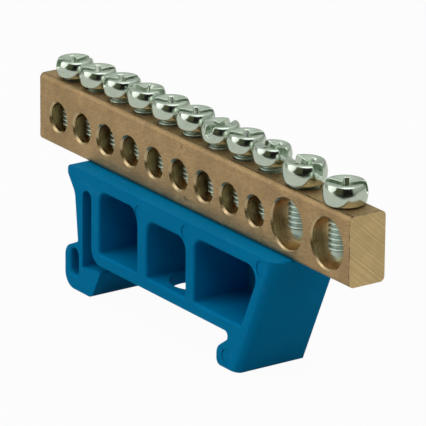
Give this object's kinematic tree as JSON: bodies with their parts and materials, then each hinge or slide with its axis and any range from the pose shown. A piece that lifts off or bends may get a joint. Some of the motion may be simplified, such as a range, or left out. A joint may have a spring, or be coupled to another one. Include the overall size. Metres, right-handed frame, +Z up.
{
  "type": "terminal strip",
  "caption": "Brass terminal bar with a row of slotted clamping screws over round wire holes, fixed on a moulded blue holder with a spring hook that snaps onto a 35 mm mounting rail.",
  "frame": {"origin": "centre of the footprint, on the plane that the holder's feet stand on", "axes": "+X along the bar towards the two large terminals, +Y to the back of the holder, +Z up, the way the screws come out"},
  "size_m": [0.0826, 0.0122, 0.0352],
  "materials": {
    "brass": "fine matte drawn brass with rounded long edges, sawn ends and bright countersinks",
    "blue_plastic": "satin moulded plastic",
    "zinc_plate": "bright zinc plate on steel"
  },
  "bodies": {
    "strip": {"holder": "blue_plastic", "busbar": "brass", "fixing_screw": "zinc_plate"},
    "terminal_screw_1": {"terminal_screw_1": "zinc_plate"},
    "terminal_screw_2": {"terminal_screw_2": "zinc_plate"},
    "terminal_screw_3": {"terminal_screw_3": "zinc_plate"},
    "terminal_screw_4": {"terminal_screw_4": "zinc_plate"},
    "terminal_screw_5": {"terminal_screw_5": "zinc_plate"},
    "terminal_screw_6": {"terminal_screw_6": "zinc_plate"},
    "terminal_screw_7": {"terminal_screw_7": "zinc_plate"},
    "terminal_screw_8": {"terminal_screw_8": "zinc_plate"},
    "terminal_screw_9": {"terminal_screw_9": "zinc_plate"},
    "main_screw_1": {"main_screw_1": "zinc_plate"},
    "main_screw_2": {"main_screw_2": "zinc_plate"}
  },
  "joints": [
    {"name": "terminal_screw_1_travel", "type": "slide", "parent": "strip", "child": "terminal_screw_1", "axis": [0, 0, 1], "range_m": [-0.00008, 0.0051]},
    {"name": "terminal_screw_2_travel", "type": "slide", "parent": "strip", "child": "terminal_screw_2", "axis": [0, 0, 1], "range_m": [-0.00027, 0.00491]},
    {"name": "terminal_screw_3_travel", "type": "slide", "parent": "strip", "child": "terminal_screw_3", "axis": [0, 0, 1], "range_m": [-0.00054, 0.00463]},
    {"name": "terminal_screw_4_travel", "type": "slide", "parent": "strip", "child": "terminal_screw_4", "axis": [0, 0, 1], "range_m": [-0.00064, 0.00454]},
    {"name": "terminal_screw_5_travel", "type": "slide", "parent": "strip", "child": "terminal_screw_5", "axis": [0, 0, 1], "range_m": [-0.00059, 0.00458]},
    {"name": "terminal_screw_6_travel", "type": "slide", "parent": "strip", "child": "terminal_screw_6", "axis": [0, 0, 1], "range_m": [-0.0007, 0.00448]},
    {"name": "terminal_screw_7_travel", "type": "slide", "parent": "strip", "child": "terminal_screw_7", "axis": [0, 0, 1], "range_m": [-0.00053, 0.00464]},
    {"name": "terminal_screw_8_travel", "type": "slide", "parent": "strip", "child": "terminal_screw_8", "axis": [0, 0, 1], "range_m": [-0.00076, 0.00442]},
    {"name": "terminal_screw_9_travel", "type": "slide", "parent": "strip", "child": "terminal_screw_9", "axis": [0, 0, 1], "range_m": [-0.00076, 0.00442]},
    {"name": "main_screw_1_travel", "type": "slide", "parent": "strip", "child": "main_screw_1", "axis": [0, 0, 1], "range_m": [-0.00048, 0.00654]},
    {"name": "main_screw_2_travel", "type": "slide", "parent": "strip", "child": "main_screw_2", "axis": [0, 0, 1], "range_m": [-0.00012, 0.0069]}
  ]
}
